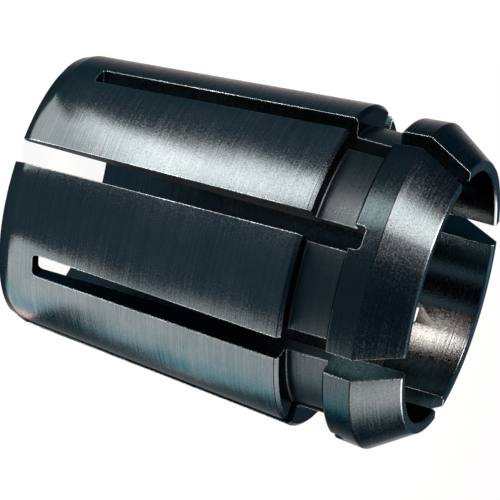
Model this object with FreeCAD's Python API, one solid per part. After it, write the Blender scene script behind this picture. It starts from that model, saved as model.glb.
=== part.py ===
import FreeCAD, Part
import math
import os

# A slotted taper collet in one piece, standing on its small rear end with the nose up.
# Axis on +Z, rear face on Z = 0, millimetres. A front slot lies on +X.

# Outer form
overall_length = 67.1
largest_diameter = 52.2
nose_length = 6.8
collar_width = 4.7
groove_width = 7.0

# Wall between the bore and the largest diameter, which leaves a 40 mm bore
wall = 6.1
bore_diameter = largest_diameter - 2.0 * wall

# Thickness left over the bore at each point, as a share of that wall
rear_share = 0.307
body_front_share = 0.971
groove_floor_share = 0.418
collar_rear_share = 0.938
front_ring_share = 0.277

# Broken edges and corner radii
rear_chamfer_depth = 0.09 * wall
rear_chamfer_length = 1.9
body_edge_chamfer = 0.1 * wall
collar_edge_chamfer = 0.06 * wall
bore_mouth_chamfer = 0.06 * wall
groove_corner_radius = 0.065 * wall

# Slots, as many from the front as from the rear, set midway between each other
slots_per_end = 4
slot_width = 3.7
slot_corner_radius = 0.8
rear_land = 6.2
rear_slot_bite = 2.0
slot_overrun = 5.0

# Heights along the axis
nose_start = overall_length - nose_length
collar_start = nose_start - collar_width
groove_start = collar_start - groove_width


def radius_at(share):
    """Outer radius where the wall over the bore has this share of its full thickness."""
    return bore_diameter / 2.0 + share * wall


def body_radius(height):
    """Radius of the tapered body at a height."""
    rise = (radius_at(body_front_share) - radius_at(rear_share)) / groove_start
    return radius_at(rear_share) + rise * height


def line(start, end):
    """Straight edge between two (radius, height) points of the half section."""
    first = FreeCAD.Vector(start[0], 0.0, start[1])
    last = FreeCAD.Vector(end[0], 0.0, end[1])
    return Part.makeLine(first, last)


def corner_arc(start, end, centre, radius):
    """Concave quarter arc between two (radius, height) points about a centre."""
    across = ((start[0] + end[0]) / 2.0 - centre[0], (start[1] + end[1]) / 2.0 - centre[1])
    scale = radius / math.hypot(across[0], across[1])
    middle = FreeCAD.Vector(centre[0] + across[0] * scale, 0.0, centre[1] + across[1] * scale)
    first = FreeCAD.Vector(start[0], 0.0, start[1])
    last = FreeCAD.Vector(end[0], 0.0, end[1])
    return Part.Arc(first, middle, last).toShape()


def groove_edges(body_edge, collar_edge):
    """Side walls, rounded corners and floor of the extractor groove."""
    floor = radius_at(groove_floor_share)
    round_off = groove_corner_radius
    wall_foot = (floor + round_off, groove_start)
    floor_start = (floor, groove_start + round_off)
    floor_end = (floor, collar_start - round_off)
    collar_foot = (floor + round_off, collar_start)
    rear_centre = (floor + round_off, groove_start + round_off)
    front_centre = (floor + round_off, collar_start - round_off)
    return [
        line(body_edge, wall_foot),
        corner_arc(wall_foot, floor_start, rear_centre, round_off),
        line(floor_start, floor_end),
        corner_arc(floor_end, collar_foot, front_centre, round_off),
        line(collar_foot, collar_edge),
    ]


def half_section():
    """Closed half section of the turned blank, bore included."""
    bore = bore_diameter / 2.0
    collar_rear = radius_at(collar_rear_share)
    body_edge = (body_radius(groove_start) - body_edge_chamfer, groove_start)
    collar_edge = (collar_rear - collar_edge_chamfer, collar_start)
    rear_side = [
        (bore, bore_mouth_chamfer),
        (bore + bore_mouth_chamfer, 0.0),
        (body_radius(0.0) - rear_chamfer_depth, 0.0),
        (body_radius(rear_chamfer_length), rear_chamfer_length),
        (body_radius(groove_start - body_edge_chamfer), groove_start - body_edge_chamfer),
        body_edge,
    ]
    front_side = [
        collar_edge,
        (collar_rear, collar_start + collar_edge_chamfer),
        (radius_at(1.0), nose_start),
        (radius_at(front_ring_share), overall_length),
        (bore + bore_mouth_chamfer, overall_length),
        (bore, overall_length - bore_mouth_chamfer),
        rear_side[0],
    ]
    edges = [line(a, b) for a, b in zip(rear_side, rear_side[1:])]
    edges += groove_edges(body_edge, collar_edge)
    edges += [line(a, b) for a, b in zip(front_side, front_side[1:])]
    return Part.Face(Part.Wire(edges))


def turned_blank():
    """The blank before slotting: the half section turned about the axis."""
    return half_section().revolve(FreeCAD.Vector(), FreeCAD.Vector(0.0, 0.0, 1.0), 360.0)


def slot_cutter(bottom, top, angle):
    """A radial cutter with rounded corners, from inside the bore to outside the collet."""
    inner = bore_diameter / 4.0
    reach = largest_diameter / 2.0 + slot_overrun - inner
    corner = FreeCAD.Vector(inner, -slot_width / 2.0, bottom)
    cutter = Part.makeBox(reach, slot_width, top - bottom, corner)
    radial = [e for e in cutter.Edges if abs(e.tangentAt(e.FirstParameter).x) > 0.9]
    cutter = cutter.makeFillet(slot_corner_radius, radial)
    cutter.rotate(FreeCAD.Vector(), FreeCAD.Vector(0.0, 0.0, 1.0), angle)
    return cutter


def slot_cutters():
    """Front slots stop short of the rear end; rear slots run on just into the collar."""
    pitch = 360.0 / slots_per_end
    cutters = []
    for index in range(slots_per_end):
        front_angle = index * pitch
        rear_angle = front_angle + pitch / 2.0
        cutters.append(slot_cutter(rear_land, overall_length + slot_overrun, front_angle))
        cutters.append(slot_cutter(-slot_overrun, collar_start + rear_slot_bite, rear_angle))
    return cutters


def collet():
    """The finished collet as one solid."""
    return turned_blank().cut(slot_cutters()).Solids[0]


os.makedirs("parts", exist_ok=True)
collet().exportStep("parts/collet.step")
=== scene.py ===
"""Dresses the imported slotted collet: finer turned and slotted steel, its finish, and the studio."""

import logging
import math
from dataclasses import dataclass, field
from enum import Enum
from typing import Any

import bpy
from mathutils import Matrix, Vector


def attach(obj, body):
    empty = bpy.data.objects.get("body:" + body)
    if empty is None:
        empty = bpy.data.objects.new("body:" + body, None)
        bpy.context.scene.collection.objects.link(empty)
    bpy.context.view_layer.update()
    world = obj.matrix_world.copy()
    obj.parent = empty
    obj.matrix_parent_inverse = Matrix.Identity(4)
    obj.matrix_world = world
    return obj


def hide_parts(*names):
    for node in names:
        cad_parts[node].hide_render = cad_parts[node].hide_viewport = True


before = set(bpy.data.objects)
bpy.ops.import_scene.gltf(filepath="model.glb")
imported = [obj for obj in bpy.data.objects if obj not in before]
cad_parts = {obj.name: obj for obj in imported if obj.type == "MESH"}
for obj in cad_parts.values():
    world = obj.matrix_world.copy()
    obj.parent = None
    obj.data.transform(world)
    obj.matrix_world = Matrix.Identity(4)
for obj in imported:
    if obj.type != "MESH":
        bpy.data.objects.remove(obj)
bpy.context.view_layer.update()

logging.basicConfig(level=logging.INFO, format="%(name)s: %(message)s")
LOG = logging.getLogger("collet")
MM = 0.001
WELD_DISTANCE = 1e-6
MIX_SHARE, MIX_FIRST, MIX_SECOND, MIX_RESULT = 0, 6, 7, 2

Colour = tuple[float, float, float]
Place = tuple[float, float, float]
Point = tuple[float, float]


class SlotSide(Enum):
    """The end that a set of slots is sawn from."""

    FRONT = "front"
    REAR = "rear"


class Region(Enum):
    """A part of the surface with a finish of its own."""

    GROOVE = "groove"
    COLLAR = "collar"
    MOUTH = "mouth"
    RING = "ring"
    SAWN = "sawn"


class Value:
    """A number socket on which ordinary arithmetic adds Math nodes."""

    def __init__(self, nodes: "NodeTree", socket: Any) -> None:
        """Wraps a socket.

        Args:
            nodes: The tree that new Math nodes go into.
            socket: The output socket that carries the number.
        """
        self.nodes = nodes
        self.socket = socket

    def _maths(self, operation: str, *terms: Any) -> "Value":
        """One Math node over the given terms.

        Args:
            operation: The Math node's operation.
            terms: Numbers, sockets or values, in order.

        Returns:
            The node's result.
        """
        node = self.nodes.node("ShaderNodeMath", {"operation": operation}, dict(enumerate(terms)))
        return Value(self.nodes, node.outputs[0])

    def __add__(self, other: Any) -> "Value":
        """Sum with a number or value."""
        return self._maths("ADD", self, other)

    __radd__ = __add__

    def __sub__(self, other: Any) -> "Value":
        """Difference from a number or value."""
        return self._maths("SUBTRACT", self, other)

    def __rsub__(self, other: Any) -> "Value":
        """A number less this value."""
        return self._maths("SUBTRACT", other, self)

    def __mul__(self, other: Any) -> "Value":
        """Product with a number or value."""
        return self._maths("MULTIPLY", self, other)

    __rmul__ = __mul__

    def __truediv__(self, other: Any) -> "Value":
        """Quotient by a number or value."""
        return self._maths("DIVIDE", self, other)

    def __rtruediv__(self, other: Any) -> "Value":
        """A number divided by this value."""
        return self._maths("DIVIDE", other, self)

    def __mod__(self, other: Any) -> "Value":
        """Remainder after division by a number or value."""
        return self._maths("MODULO", self, other)

    def __rmod__(self, other: Any) -> "Value":
        """Remainder of a number after division by this value."""
        return self._maths("MODULO", other, self)

    def floor(self) -> "Value":
        """The whole part."""
        return self._maths("FLOOR", self)

    def sine(self) -> "Value":
        """The sine."""
        return self._maths("SINE", self)

    def cosine(self) -> "Value":
        """The cosine."""
        return self._maths("COSINE", self)

    def arcsine_over(self, other: Any) -> "Value":
        """The arcsine of this value divided by another."""
        return self._maths("ARCSINE", self / other)

    def root(self) -> "Value":
        """The square root."""
        return self._maths("SQRT", self)

    def size(self) -> "Value":
        """The value without its sign."""
        return self._maths("ABSOLUTE", self)

    def lowest(self, other: Any) -> "Value":
        """The smaller of this and another."""
        return self._maths("MINIMUM", self, other)

    def highest(self, other: Any) -> "Value":
        """The larger of this and another."""
        return self._maths("MAXIMUM", self, other)

    def clipped(self, low: float, high: float) -> "Value":
        """This value spread so that low gives 0 and high gives 1, and held there.

        Args:
            low: The value that becomes 0.
            high: The value that becomes 1.

        Returns:
            The spread value.
        """
        spread = (self - low) / (high - low)
        return Value(self.nodes, self.nodes.node(
            "ShaderNodeClamp", {}, {"Value": spread}).outputs[0])


class NodeTree:
    """A node tree with one way to add any node."""

    def __init__(self, tree: bpy.types.NodeTree) -> None:
        """Wraps a Blender node tree.

        Args:
            tree: The tree to add nodes to.
        """
        self.tree = tree

    def node(self, kind: str, settings: dict[str, Any], inputs: dict[Any, Any]) -> Any:
        """Adds a node, sets it up, then fills its sockets.

        Args:
            kind: The node's type name.
            settings: Its own properties, which are set first.
            inputs: Values, sockets or Value objects by socket name or number.

        Returns:
            The new node.
        """
        node = self.tree.nodes.new(kind)
        for name, setting in settings.items():
            setattr(node, name, setting)
        for name, given in inputs.items():
            self.join(node.inputs[name], given)
        return node

    def join(self, socket: Any, given: Any) -> None:
        """Links a socket, or several into one that joins, or sets its value.

        Args:
            socket: The input socket.
            given: A value, socket, Value, or list of sockets.
        """
        for item in given if isinstance(given, list) else [given]:
            if isinstance(item, Value):
                self.tree.links.new(item.socket, socket)
            elif isinstance(item, bpy.types.NodeSocket):
                self.tree.links.new(item, socket)
            else:
                socket.default_value = item

    def value(self, socket: Any) -> Value:
        """The socket as a number that can be reckoned with."""
        return Value(self, socket)

    def vector(self, across: Any, along: Any, height: Any) -> Any:
        """The socket of a vector put together from its three parts."""
        return self.node("ShaderNodeCombineXYZ", {}, {
            "X": across, "Y": along, "Z": height}).outputs[0]

    def mixed(self, share: Any, first: Any, second: Any) -> Any:
        """Mixes two colours.

        Args:
            share: How much of the second colour, from 0 to 1.
            first: A colour or colour socket.
            second: A colour or colour socket.

        Returns:
            The mixed colour's socket.
        """
        first, second = [(*c, 1.0) if isinstance(c, tuple) else c for c in (first, second)]
        node = self.node("ShaderNodeMix", {"data_type": "RGBA"}, {
            MIX_SHARE: share, MIX_FIRST: first, MIX_SECOND: second})
        return node.outputs[MIX_RESULT]


@dataclass
class HalfSection:
    """Sizes of the turned blank, in millimetres, and its half section."""

    overall_length: float = 67.1
    largest_radius: float = 26.1
    nose_length: float = 6.8
    collar_width: float = 4.7
    groove_width: float = 7.0
    wall: float = 6.1
    rear_share: float = 0.307
    body_front_share: float = 0.971
    groove_floor_share: float = 0.418
    collar_rear_share: float = 0.938
    front_ring_share: float = 0.277
    rear_chamfer_length: float = 1.9
    rear_chamfer_depth: float = 0.549
    body_edge_chamfer: float = 0.61
    small_chamfer: float = 0.366
    groove_corner_radius: float = 0.397
    arc_steps: int = 10
    longest_run: float = 6.0

    @property
    def bore(self) -> float:
        """Radius of the bore."""
        return self.largest_radius - self.wall

    @property
    def nose_start(self) -> float:
        """Height of the collar's front edge."""
        return self.overall_length - self.nose_length

    @property
    def collar_start(self) -> float:
        """Height of the collar's rear edge."""
        return self.nose_start - self.collar_width

    @property
    def groove_start(self) -> float:
        """Height of the groove's rear wall."""
        return self.collar_start - self.groove_width

    def radius_at(self, share: float) -> float:
        """Outer radius where the wall over the bore has this share of its full thickness."""
        return self.bore + share * self.wall

    def body_radius(self, height: float) -> float:
        """Radius of the tapered body at a height.

        Args:
            height: The height over the rear face.

        Returns:
            The radius there.
        """
        rear = self.radius_at(self.rear_share)
        front = self.radius_at(self.body_front_share)
        return rear + (front - rear) * height / self.groove_start

    def groove_points(self) -> list[Point]:
        """The groove's floor with a rounded corner at each side.

        Returns:
            Points of (radius, height) from the rear corner to the front one.
        """
        floor = self.radius_at(self.groove_floor_share)
        round_off = self.groove_corner_radius
        points = []
        quarter = math.pi / 2.0
        for centre_height, start in ((self.groove_start + round_off, 3.0 * quarter),
                                     (self.collar_start - round_off, 2.0 * quarter)):
            for step in range(self.arc_steps + 1):
                turn = start - quarter * step / self.arc_steps
                points.append((floor + round_off + round_off * math.cos(turn),
                               centre_height + round_off * math.sin(turn)))
        return points

    def corners(self) -> list[Point]:
        """The closed half section in order, bore included.

        Returns:
            Points of (radius, height), the last one joined to the first.
        """
        small = self.small_chamfer
        collar_rear = self.radius_at(self.collar_rear_share)
        edge_height = self.groove_start - self.body_edge_chamfer
        return [
            (self.bore, small),
            (self.bore + small, 0.0),
            (self.body_radius(0.0) - self.rear_chamfer_depth, 0.0),
            (self.body_radius(self.rear_chamfer_length), self.rear_chamfer_length),
            (self.body_radius(edge_height), edge_height),
            (self.body_radius(self.groove_start) - self.body_edge_chamfer, self.groove_start),
            *self.groove_points(),
            (collar_rear - small, self.collar_start),
            (collar_rear, self.collar_start + small),
            (self.radius_at(1.0), self.nose_start),
            (self.radius_at(self.front_ring_share), self.overall_length),
            (self.bore + small, self.overall_length),
            (self.bore, self.overall_length - small),
        ]

    def points(self) -> list[Point]:
        """The half section with its long runs divided evenly.

        Returns:
            Points of (radius, height), the last one joined to the first.
        """
        corners = self.corners()
        points = []
        for first, last in zip(corners, corners[1:] + corners[:1]):
            pieces = max(1, math.ceil(math.dist(first, last) / self.longest_run))
            points += [(first[0] + (last[0] - first[0]) * i / pieces,
                        first[1] + (last[1] - first[1]) * i / pieces) for i in range(pieces)]
        return points

    def outline(self) -> bpy.types.Object:
        """The half section as a mesh of points only, in order.

        Returns:
            The object that holds the points, in metres.
        """
        mesh = bpy.data.meshes.new("half_section")
        mesh.from_pydata([(r * MM, 0.0, z * MM) for r, z in self.points()], [], [])
        found = bpy.data.objects.new("half_section", mesh)
        bpy.context.scene.collection.objects.link(found)
        return found


@dataclass
class SlottedCollet:
    """The collet: a turned blank with slots sawn in turn from its front and its rear.

    Sizes are in millimetres and angles in degrees. The column inset is how far inside a slot
    the blank's nearest columns stand, so that the saw cuts leave no slivers.
    """

    section: HalfSection = field(default_factory=HalfSection)
    slots_per_end: int = 4
    slot_width: float = 3.7
    slot_corner_radius: float = 0.8
    rear_land: float = 6.2
    rear_slot_end: float = 57.6
    overrun: float = 5.0
    edge_round: float = 0.13
    edge_segments: int = 2
    sharp_angle: float = 10.5
    columns_per_land: int = 24
    column_inset: float = 0.24

    def slot_span(self, side: SlotSide) -> Point:
        """Lowest and highest point of a slot cutter.

        Args:
            side: The end that the slot is sawn from.

        Returns:
            The two heights in millimetres.
        """
        if side is SlotSide.FRONT:
            return self.rear_land, self.section.overall_length + self.overrun
        return -self.overrun, self.rear_slot_end

    def _turned_blank(self, nodes: NodeTree, given: Any) -> Any:
        """The blank: the section's points carried round, with columns kept off slot edges.

        Args:
            nodes: The geometry tree.
            given: The tree's input node.

        Returns:
            The blank's geometry socket.
        """
        rows = nodes.value(nodes.node(
            "GeometryNodeAttributeDomainSize", {"component": "MESH"},
            {"Geometry": given.outputs["Half section"]}).outputs["Point Count"])
        block = nodes.value(given.outputs["Columns per land"]) + 1
        sectors = nodes.value(given.outputs["Slots per end"]) * 2
        pitch = 2.0 * math.pi / sectors
        grid = nodes.node("GeometryNodeMeshGrid", {}, {
            "Vertices X": block * sectors + 1, "Vertices Y": rows + 1})
        index = nodes.value(nodes.node("GeometryNodeInputIndex", {}, {}).outputs[0])
        row = (index % (rows + 1)) % rows
        # The added halves keep rounding from dropping a whole step.
        column = ((index + 0.5) / (rows + 1)).floor()
        sector = ((column + 0.5) / block).floor()
        along = (column - sector * block) / (block - 1)
        place = nodes.node("GeometryNodeInputPosition", {}, {})
        sample = nodes.node(
            "GeometryNodeSampleIndex", {"data_type": "FLOAT_VECTOR"},
            {"Geometry": given.outputs["Half section"], "Value": place.outputs[0], "Index": row})
        parts = nodes.node("ShaderNodeSeparateXYZ", {}, {0: sample.outputs["Value"]})
        radius = nodes.value(parts.outputs[0])
        inset = nodes.value(given.outputs["Column offset"]).arcsine_over(radius)
        angle = sector * pitch + inset + along * (pitch - inset * 2)
        around = nodes.vector(radius * angle.cosine(), radius * angle.sine(), parts.outputs[2])
        placed = nodes.node("GeometryNodeSetPosition", {}, {
            "Geometry": grid.outputs["Mesh"], "Position": around})
        merged = nodes.node("GeometryNodeMergeByDistance", {}, {
            "Geometry": placed.outputs[0], "Distance": WELD_DISTANCE})
        return merged.outputs[0]

    def _cutters(self, nodes: NodeTree, given: Any, side: SlotSide) -> Any:
        """The ring of cutters for one end.

        Args:
            nodes: The geometry tree.
            given: The tree's input node.
            side: The end that the slots are sawn from.

        Returns:
            The cutters' geometry socket.
        """
        bottom = nodes.value(given.outputs[f"Bottom of {side.value} slots"])
        top = nodes.value(given.outputs[f"Top of {side.value} slots"])
        outline = nodes.node("GeometryNodeCurvePrimitiveQuadrilateral", {}, {
            "Width": given.outputs["Slot width"], "Height": top - bottom})
        rounded = nodes.node("GeometryNodeFilletCurve", {"mode": "POLY"}, {
            "Curve": outline.outputs[0], "Radius": given.outputs["Slot corner radius"],
            "Count": self.section.arc_steps, "Limit Radius": True})
        path = nodes.node("GeometryNodeCurvePrimitiveLine", {}, {
            "Start": nodes.vector(0.0, 0.0, given.outputs["Cutter start"]),
            "End": nodes.vector(0.0, 0.0, given.outputs["Cutter end"])})
        bar = nodes.node("GeometryNodeCurveToMesh", {}, {
            "Curve": path.outputs[0], "Profile Curve": rounded.outputs[0], "Fill Caps": True})
        laid = nodes.node("GeometryNodeTransform", {}, {
            "Geometry": bar.outputs[0], "Translation": nodes.vector(0.0, 0.0, (bottom + top) / 2.0),
            "Rotation": (math.pi / 2.0, 0.0, math.pi / 2.0)})
        points = nodes.node("GeometryNodeMeshLine", {}, {
            "Count": given.outputs["Slots per end"], "Offset": (0.0, 0.0, 0.0)})
        index = nodes.value(nodes.node("GeometryNodeInputIndex", {}, {}).outputs[0])
        step = 0.0 if side is SlotSide.FRONT else 0.5
        pitch = 2.0 * math.pi / nodes.value(given.outputs["Slots per end"])
        ring = nodes.node("GeometryNodeInstanceOnPoints", {}, {
            "Points": points.outputs[0], "Instance": laid.outputs[0],
            "Rotation": nodes.vector(0.0, 0.0, (index + step) * pitch)})
        return nodes.node("GeometryNodeRealizeInstances", {}, {0: ring.outputs[0]}).outputs[0]

    def _tree(self, steel: bpy.types.Material) -> tuple[bpy.types.NodeTree, dict[str, Any]]:
        """The geometry tree that turns and slots the collet.

        Args:
            steel: The finish of the whole piece.

        Returns:
            The tree, and its input values by socket identifier.
        """
        tree = bpy.data.node_groups.new("slotted_collet", "GeometryNodeTree")
        counts = {"Slots per end": self.slots_per_end, "Columns per land": self.columns_per_land}
        sizes = {
            "Column offset": self.slot_width / 2.0 - self.column_inset,
            "Slot width": self.slot_width,
            "Slot corner radius": self.slot_corner_radius,
            "Cutter start": self.section.bore / 2.0,
            "Cutter end": self.section.largest_radius + self.overrun,
        }
        for side in SlotSide:
            bottom, top = self.slot_span(side)
            sizes[f"Bottom of {side.value} slots"] = bottom
            sizes[f"Top of {side.value} slots"] = top
        inputs = [("NodeSocketInt", name, count) for name, count in counts.items()]
        inputs += [("NodeSocketFloat", name, size * MM) for name, size in sizes.items()]
        inputs += [("NodeSocketMaterial", "Steel", steel)]
        tree.interface.new_socket("Half section", in_out="INPUT", socket_type="NodeSocketGeometry")
        values = {}
        for kind, name, value in inputs:
            socket = tree.interface.new_socket(name, in_out="INPUT", socket_type=kind)
            values[socket.identifier] = value
        tree.interface.new_socket("Collet", in_out="OUTPUT", socket_type="NodeSocketGeometry")
        nodes = NodeTree(tree)
        given = nodes.node("NodeGroupInput", {}, {})
        cut = nodes.node(
            "GeometryNodeMeshBoolean", {"operation": "DIFFERENCE", "solver": "EXACT"},
            {"Mesh 1": self._turned_blank(nodes, given),
             "Mesh 2": [self._cutters(nodes, given, side) for side in SlotSide]})
        whole = nodes.node("GeometryNodeRealizeInstances", {}, {0: cut.outputs[0]})
        dressed = nodes.node("GeometryNodeSetMaterial", {}, {
            "Geometry": whole.outputs[0], "Material": given.outputs["Steel"]})
        nodes.node("NodeGroupOutput", {}, {0: dressed.outputs[0]})
        return tree, values

    def build(self, steel: bpy.types.Material) -> bpy.types.Object:
        """Builds the collet as a plain mesh with its edges lightly rounded.

        Args:
            steel: The finish of the whole piece.

        Returns:
            The finished piece.
        """
        tree, values = self._tree(steel)
        raw = self.section.outline()
        cutting = raw.modifiers.new("slotted_collet", "NODES")
        cutting.node_group = tree
        for identifier, value in values.items():
            cutting[identifier] = value
        evaluated = raw.evaluated_get(bpy.context.evaluated_depsgraph_get())
        mesh = bpy.data.meshes.new_from_object(evaluated)
        bpy.data.objects.remove(raw)
        mesh.shade_smooth()
        mesh.set_sharp_from_angle(angle=math.radians(self.sharp_angle))
        piece = bpy.data.objects.new("slotted_collet", mesh)
        bpy.context.scene.collection.objects.link(piece)
        rounding = piece.modifiers.new("edge_round", "BEVEL")
        rounding.width = self.edge_round * MM
        rounding.segments = self.edge_segments
        rounding.limit_method = "ANGLE"
        rounding.angle_limit = math.radians(self.sharp_angle)
        rounding.use_clamp_overlap = False
        rounding.harden_normals = True
        return piece


@dataclass(frozen=True)
class Grain:
    """A noise in the steel: its waves per metre along each axis, and its octaves."""

    scale: Place
    octaves: float


@dataclass(frozen=True)
class RegionFinish:
    """How one region differs from the rest of the steel.

    The share is how far its colour covers the steel's own, and rougher adds to the roughness.
    """

    region: Region
    share: float
    colour: Colour
    rougher: float = 0.0


@dataclass(frozen=True)
class GroundSteel:
    """Dark blued steel with turned grinding marks, edges lightened partly as wear and partly as a
    painted highlight, and regions of other finish.

    Sizes are in millimetres. The edge tint is the colour of what the steel mirrors at a grazing
    angle. A spread is the two values of a noise that become none and all, and a share is how
    much it adds.
    """

    base: Colour = (0.007, 0.018, 0.026)
    dulled: Colour = (0.017, 0.035, 0.046)
    # The light colour that edges take: partly bare worn steel, partly a painted highlight along the
    # edges.
    worn_and_glint: Colour = (0.19, 0.42, 0.56)
    edge_tint: Colour = (0.465, 0.48, 0.49)
    roughness: float = 0.23
    finishes: tuple[RegionFinish, ...] = (
        RegionFinish(Region.GROOVE, 0.75, (0.006, 0.014, 0.019), 0.12),
        RegionFinish(Region.COLLAR, 0.9, (0.003, 0.009, 0.013)),
        RegionFinish(Region.MOUTH, 1.0, (0.022, 0.050, 0.064), -0.10),
        RegionFinish(Region.RING, 0.8, (0.05, 0.10, 0.14)),
        RegionFinish(Region.SAWN, 1.0, (0.003, 0.011, 0.016), 0.1),
    )
    groove_heights: Point = (48.7, 55.5)
    groove_radius: float = 23.3
    collar_heights: Point = (55.6, 60.2)
    bore_radius: float = 20.2
    mouth_start: float = 54.0
    ring_start: float = 66.85
    slot_half_width: float = 1.86
    slot_ends: Point = (6.1, 57.7)
    soft_edge: float = 0.1
    groove_soft_edge: float = 1.5
    mouth_soft_edge: float = 0.2
    slot_soft_edge: float = 0.03
    marks: Grain = Grain((60.0, 60.0, 5200.0), 3.0)
    bands: Grain = Grain((25.0, 25.0, 900.0), 2.0)
    speckle: Grain = Grain((3600.0, 3600.0, 3600.0), 2.0)
    cloud: Grain = Grain((110.0, 110.0, 110.0), 4.0)
    grain_roughness: float = 0.65
    grain_middle: float = 0.5
    cloud_spread: Point = (0.35, 0.8)
    cloud_share: float = 0.4
    mark_spread: Point = (0.45, 0.8)
    mark_share: float = 0.5
    wear_and_glint_radius: float = 0.32
    wear_and_glint_samples: int = 6
    wear_and_glint_spread: Point = (0.03, 0.16)
    worn_and_glint_patches: Point = (0.40, 0.60)
    least_wear_and_glint: float = 0.3
    wear_and_glint_share: float = 0.7
    mark_roughness: float = 0.25
    speckle_roughness: float = 0.5
    cloud_roughness: float = 0.1
    mark_height: float = 0.7
    band_height: float = 0.8
    speckle_height: float = 0.5
    relief_strength: float = 0.5
    relief_depth: float = 0.06

    def _noise(self, nodes: NodeTree, grain: Grain) -> Value:
        """A grain over the whole piece.

        Args:
            nodes: The material's tree.
            grain: The grain's scale and octaves.

        Returns:
            The noise, from 0 to 1.
        """
        place = nodes.node("ShaderNodeTexCoord", {}, {}).outputs["Object"]
        spread = nodes.node("ShaderNodeMapping", {}, {"Vector": place, "Scale": grain.scale})
        noise = nodes.node("ShaderNodeTexNoise", {}, {
            "Vector": spread.outputs[0], "Scale": 1.0, "Detail": grain.octaves,
            "Roughness": self.grain_roughness})
        return nodes.value(noise.outputs[0])

    def _regions(self, nodes: NodeTree) -> dict[Region, Value]:
        """Where each region of the surface is.

        Args:
            nodes: The material's tree.

        Returns:
            Masks of the groove, collar, bore's mouth, front ring and slot walls.
        """
        place = nodes.node("ShaderNodeTexCoord", {}, {}).outputs["Object"]
        parts = nodes.node("ShaderNodeSeparateXYZ", {}, {0: place})
        across, along, height = (nodes.value(parts.outputs[i]) for i in range(3))
        radius = (across * across + along * along).root()

        def past(value: Value, limit: float, width: float = self.soft_edge) -> Value:
            """A mask of the values past a limit, in millimetres."""
            return value.clipped(limit * MM, (limit + width) * MM)

        def between(rear: float, front: float) -> Value:
            """A mask of the heights from rear to front, in millimetres."""
            return past(height, rear - self.soft_edge) * (1 - past(height, front))

        def near_planes(first: Value, second: Value) -> Value:
            """A mask of the space of the slots on two crossing planes."""
            nearest = first.size().lowest(second.size())
            return 1 - past(nearest, self.slot_half_width, self.slot_soft_edge)

        outside = past(radius, self.groove_radius, self.groove_soft_edge)
        inside = 1 - past(radius, self.bore_radius, self.mouth_soft_edge)
        slant = math.sqrt(0.5)
        rear_end, front_end = self.slot_ends
        front_slots = near_planes(across, along) * past(height, rear_end)
        rear_slots = near_planes((across + along) * slant, (across - along) * slant)
        rear_slots = rear_slots * (1 - past(height, front_end))
        return {
            Region.GROOVE: between(*self.groove_heights) * (1 - outside),
            Region.COLLAR: between(*self.collar_heights) * outside,
            Region.MOUTH: past(height, self.mouth_start) * inside,
            Region.RING: past(height, self.ring_start),
            Region.SAWN: front_slots.highest(rear_slots),
        }

    def _edges(self, nodes: NodeTree) -> Value:
        """Where edges are, from how far a rounded normal leaves the true one.

        Args:
            nodes: The material's tree.

        Returns:
            A mask of the edges.
        """
        rounded = nodes.node("ShaderNodeBevel", {"samples": self.wear_and_glint_samples}, {
            "Radius": self.wear_and_glint_radius * MM})
        true = nodes.node("ShaderNodeNewGeometry", {}, {})
        match = nodes.node("ShaderNodeVectorMath", {"operation": "DOT_PRODUCT"}, {
            0: rounded.outputs[0], 1: true.outputs["Normal"]})
        return (1 - nodes.value(match.outputs["Value"])).clipped(*self.wear_and_glint_spread)

    def make(self) -> bpy.types.Material:
        """Builds the finish.

        Returns:
            The material.
        """
        material = bpy.data.materials.new("ground_steel")
        material.use_nodes = True
        nodes = NodeTree(material.node_tree)
        shader = material.node_tree.nodes["Principled BSDF"]
        grains = (self.marks, self.bands, self.speckle, self.cloud)
        marks, bands, speckle, cloud = (self._noise(nodes, grain) for grain in grains)
        regions = self._regions(nodes)
        # Edges are lightened towards that colour in patches: partly worn steel, partly a painted
        # highlight along the edges.
        wear_and_glint = self._edges(nodes) * (self.least_wear_and_glint + cloud.clipped(*self.worn_and_glint_patches))
        dulling = cloud.clipped(*self.cloud_spread) * self.cloud_share
        dulling = dulling + marks.clipped(*self.mark_spread) * self.mark_share
        tone = nodes.mixed(dulling, self.base, self.dulled)
        rough = self.roughness + (marks - self.grain_middle) * self.mark_roughness
        rough = rough + (speckle - self.grain_middle) * self.speckle_roughness
        rough = rough + (cloud - self.grain_middle) * self.cloud_roughness
        for finish in self.finishes:
            tone = nodes.mixed(regions[finish.region] * finish.share, tone, finish.colour)
            if finish.rougher:
                rough = rough + regions[finish.region] * finish.rougher
        tone = nodes.mixed(wear_and_glint.clipped(0.0, 1.0) * self.wear_and_glint_share, tone, self.worn_and_glint)
        height = marks * self.mark_height + bands * self.band_height
        height = height + speckle * self.speckle_height
        bump = nodes.node("ShaderNodeBump", {}, {
            "Strength": self.relief_strength, "Distance": self.relief_depth * MM,
            "Height": height})
        shader.inputs["Metallic"].default_value = 1.0
        shader.inputs["Specular Tint"].default_value = (*self.edge_tint, 1.0)
        nodes.join(shader.inputs["Base Color"], tone)
        nodes.join(shader.inputs["Roughness"], rough)
        nodes.join(shader.inputs["Normal"], bump.outputs[0])
        return material


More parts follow.
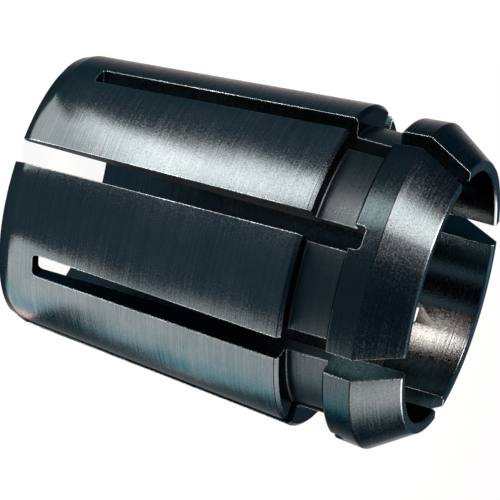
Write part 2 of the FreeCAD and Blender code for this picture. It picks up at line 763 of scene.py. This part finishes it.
@dataclass(frozen=True)
class PaleFloor:
    """Plain white floor that stays white in the view and in reflections."""

    colour: Colour = (0.9, 0.9, 0.9)
    glow: Colour = (1.0, 1.0, 1.0)
    glow_share: float = 0.93

    def make(self) -> bpy.types.Material:
        """Builds the finish.

        Returns:
            The material.
        """
        material = bpy.data.materials.new("pale_floor")
        material.use_nodes = True
        nodes = NodeTree(material.node_tree)
        material.node_tree.nodes.clear()
        path = nodes.node("ShaderNodeLightPath", {}, {})
        seen = nodes.value(path.outputs["Is Camera Ray"])
        seen = seen.highest(path.outputs["Is Glossy Ray"])
        seen = seen.highest(path.outputs["Is Transmission Ray"])
        matt = nodes.node("ShaderNodeBsdfDiffuse", {}, {"Color": (*self.colour, 1.0)})
        glow = nodes.node("ShaderNodeEmission", {}, {"Color": (*self.glow, 1.0)})
        both = nodes.node("ShaderNodeMixShader", {}, {
            0: seen * self.glow_share, 1: matt.outputs[0], 2: glow.outputs[0]})
        nodes.node("ShaderNodeOutputMaterial", {}, {0: both.outputs[0]})
        return material


@dataclass(frozen=True)
class Lamp:
    """One soft lamp, set by its bearing from the camera round the collet.

    Sizes and distances are in metres, angles in degrees, and the radiance is in watts per
    square metre and steradian. A lean of 0 faces the axis level, and 90 straight up, where
    its tall side runs away from the axis.
    """

    name: str
    bearing: float
    distance: float
    height: float
    width: float
    tall: float
    radiance: float
    lean: float = 0.0
    colour: Colour = (1.0, 0.46, 0.33)

    @property
    def power(self) -> float:
        """The lamp's watts."""
        return self.radiance * math.pi * self.width * self.tall


@dataclass
class Studio:
    """Camera, lamps, floor and surrounding light.

    Places are in metres, the lens and its sensor in millimetres, and the roll in degrees.
    """

    # The bearings of the lamps start here. Two flat ones overlap at one height, and which of
    # them a reflection shows there turns on these exact digits.
    camera_place: Place = (0.30105091, 0.44497984, 0.19469393)
    camera_aim: Place = (-0.001085, 0.000738, 0.033692)
    camera_roll: float = 105.6939
    lens: float = 257.855508
    sensor_width: float = 36.0
    nearest_seen: float = 0.01
    floor_size: float = 8.0
    sky: Colour = (0.34, 0.56, 0.70)
    sky_strength: float = 0.5
    lamps: tuple[Lamp, ...] = (
        Lamp("low_left_near", -23.0, 0.036, 0.0005, 0.016, 0.028, 31.0, 90.0),
        Lamp("low_left_join", -39.0, 0.0425, 0.0005, 0.013, 0.017, 60.0, 90.0),
        Lamp("low_left_middle", -33.5, 0.0675, 0.0005, 0.031, 0.035, 93.0, 90.0),
        Lamp("low_left_far", -41.0, 0.150, 0.0005, 0.048, 0.130, 85.0, 90.0),
        Lamp("high_left", -52.0, 0.20, 0.22, 0.09, 0.16, 88.0, -45.0),
        Lamp("low_right_near", 59.0, 0.036, 0.0005, 0.027, 0.028, 32.0, 90.0),
        Lamp("low_right_middle", 76.0, 0.061, 0.0005, 0.058, 0.022, 29.0, 90.0),
        Lamp("low_right_far", 84.0, 0.146, 0.0005, 0.128, 0.148, 29.0, 90.0),
        Lamp("high_right", 108.0, 0.20, 0.22, 0.20, 0.16, 30.0, -45.0),
        Lamp("bore_glow", -58.0, 0.0165, 0.0525, 0.012, 0.008, 44.0, 0.0, (1.0, 0.39, 0.28)),
        Lamp("top", 150.0, 0.4, 0.9, 0.8, 0.8, 1.2, -65.0, (0.85, 0.93, 1.0)),
    )

    def add_camera(self) -> None:
        """Adds the camera that has the photograph's view."""
        camera = bpy.data.cameras.new("camera")
        camera.lens = self.lens
        camera.sensor_width = self.sensor_width
        camera.clip_start = self.nearest_seen
        seen = bpy.data.objects.new("camera", camera)
        back = Vector(self.camera_place) - Vector(self.camera_aim)
        roll = Matrix.Rotation(math.radians(self.camera_roll), 4, "Z")
        turn = back.to_track_quat("Z", "Y").to_matrix().to_4x4() @ roll
        seen.matrix_world = Matrix.Translation(self.camera_place) @ turn
        bpy.context.scene.collection.objects.link(seen)
        bpy.context.scene.camera = seen

    def add_lamp(self, lamp: Lamp) -> None:
        """Adds a soft lamp that faces the collet.

        Args:
            lamp: Its place, size and power.
        """
        light = bpy.data.lights.new(lamp.name, "AREA")
        light.shape = "RECTANGLE"
        light.size, light.size_y = lamp.width, lamp.tall
        light.energy = lamp.power
        light.color = lamp.colour
        stand = bpy.data.objects.new(lamp.name, light)
        start = math.atan2(self.camera_place[1], self.camera_place[0])
        bearing = start + math.radians(lamp.bearing)
        place = Vector((lamp.distance * math.cos(bearing),
                        lamp.distance * math.sin(bearing), lamp.height))
        across = Vector((-math.sin(bearing), math.cos(bearing), 0.0))
        lean = math.radians(lamp.lean)
        facing = Vector((-math.cos(bearing) * math.cos(lean),
                         -math.sin(bearing) * math.cos(lean), math.sin(lean)))
        turn = Matrix((across, across.cross(facing), -facing)).transposed()
        stand.matrix_world = Matrix.Translation(place) @ turn.to_4x4()
        stand.visible_camera = False
        bpy.context.scene.collection.objects.link(stand)

    def add_floor(self) -> None:
        """Adds the plain floor that the collet stands on."""
        half = self.floor_size / 2.0
        mesh = bpy.data.meshes.new("floor")
        mesh.from_pydata([(-half, -half, 0.0), (half, -half, 0.0), (half, half, 0.0),
                          (-half, half, 0.0)], [], [(0, 1, 2, 3)])
        mesh.materials.append(PaleFloor().make())
        floor = bpy.data.objects.new("floor", mesh)
        bpy.context.scene.collection.objects.link(floor)

    def add_surroundings(self) -> None:
        """Gives the world a plain pale light."""
        world = bpy.data.worlds.new("surroundings")
        world.use_nodes = True
        background = world.node_tree.nodes["Background"]
        background.inputs["Color"].default_value = (*self.sky, 1.0)
        background.inputs["Strength"].default_value = self.sky_strength
        bpy.context.scene.world = world

    def build(self) -> None:
        """Sets up the whole studio."""
        bpy.context.scene.view_settings.view_transform = "Standard"
        self.add_camera()
        self.add_floor()
        self.add_surroundings()
        for lamp in self.lamps:
            self.add_lamp(lamp)


def main() -> None:
    """Builds the studio and the collet, and reports each."""
    Studio().build()
    LOG.info("studio ready")
    steel = GroundSteel().make()
    piece = SlottedCollet().build(steel)
    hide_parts("collet")
    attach(piece, "root")
    LOG.info("%s: %d vertices, %d faces", piece.name, len(piece.data.vertices),
             len(piece.data.polygons))


if __name__ == "__main__":
    main()
